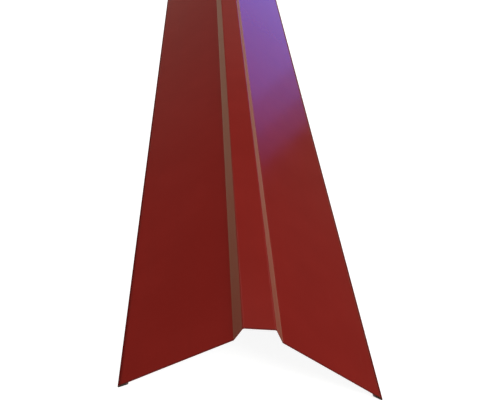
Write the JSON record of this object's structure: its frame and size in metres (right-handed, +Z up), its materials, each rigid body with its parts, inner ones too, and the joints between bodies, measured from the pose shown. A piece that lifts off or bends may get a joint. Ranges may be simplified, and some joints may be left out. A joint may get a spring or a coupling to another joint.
{
  "type": "roof ridge cap",
  "caption": "Folded coated steel ridge cap: a narrow raised flat top on two steep webs, two wings sloping down to cover the top of the roofing, and open hems folded back under both edges.",
  "frame": {"origin": "midway along the cap, on its centre line, at the level on which its two hem folds stand", "axes": "+X across the ridge to the right-hand wing, +Y along the ridge, +Z up through the flat top"},
  "size_m": [0.2426, 2, 0.072],
  "materials": {
    "painted_sheet": "satin"
  },
  "bodies": {
    "root": {"ridge_cap": "painted_sheet"}
  },
  "joints": []
}
